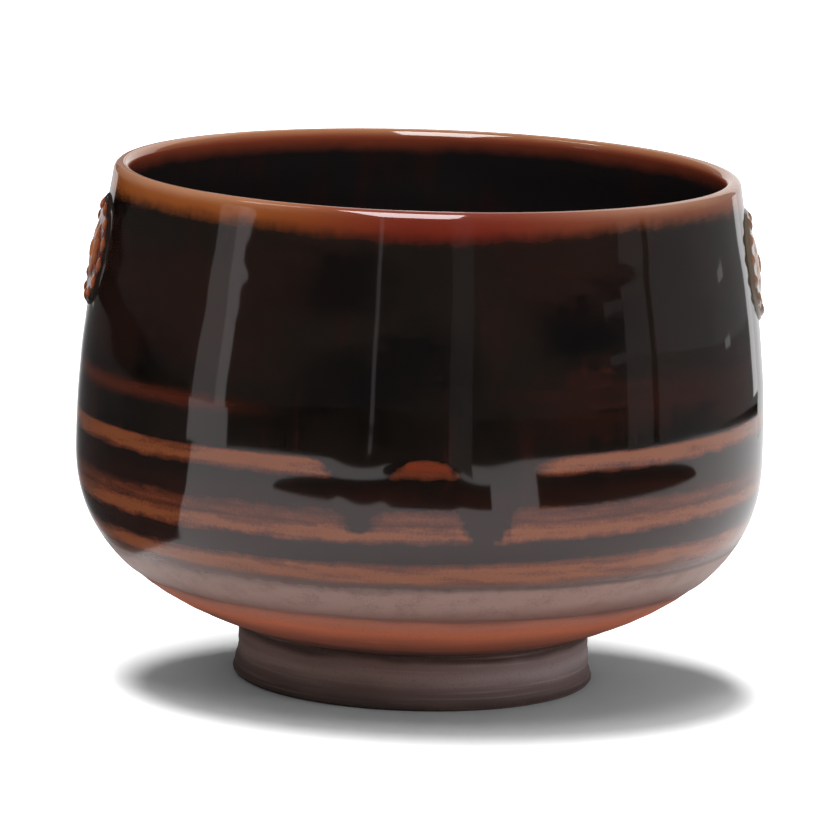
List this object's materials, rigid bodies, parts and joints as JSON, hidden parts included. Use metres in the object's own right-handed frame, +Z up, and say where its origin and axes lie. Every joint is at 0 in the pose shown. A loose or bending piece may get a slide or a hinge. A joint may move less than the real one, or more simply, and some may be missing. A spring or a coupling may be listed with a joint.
{
  "type": "tea bowl",
  "caption": "Glazed stoneware tea bowl: upright half-cylinder wall on a rounded haunch and a turned foot ring, with two round medallions near the rim.",
  "frame": {"origin": "middle of the foot, on the surface the bowl stands on", "axes": "+Z up through the mouth, along the bowl's axis; -Y is the front; the medallions are near -X and +X, turned 4 degrees towards the front"},
  "size_m": [0.1181, 0.118, 0.088],
  "materials": {
    "red_clay": "matte, bare fired clay",
    "grey_clay": "matte, bare fired clay",
    "iron_glaze": "glossy, brown-black breaking to rust",
    "liner_glaze": "glossy, brown-black",
    "medallion_glaze": "glossy, thin rust glaze over relief"
  },
  "bodies": {
    "root": {"clay_bowl": "red_clay", "foot_ring": "grey_clay", "outer_glaze": "iron_glaze", "inner_glaze": "liner_glaze", "medallion_left": "medallion_glaze", "medallion_right": "medallion_glaze"}
  },
  "joints": []
}
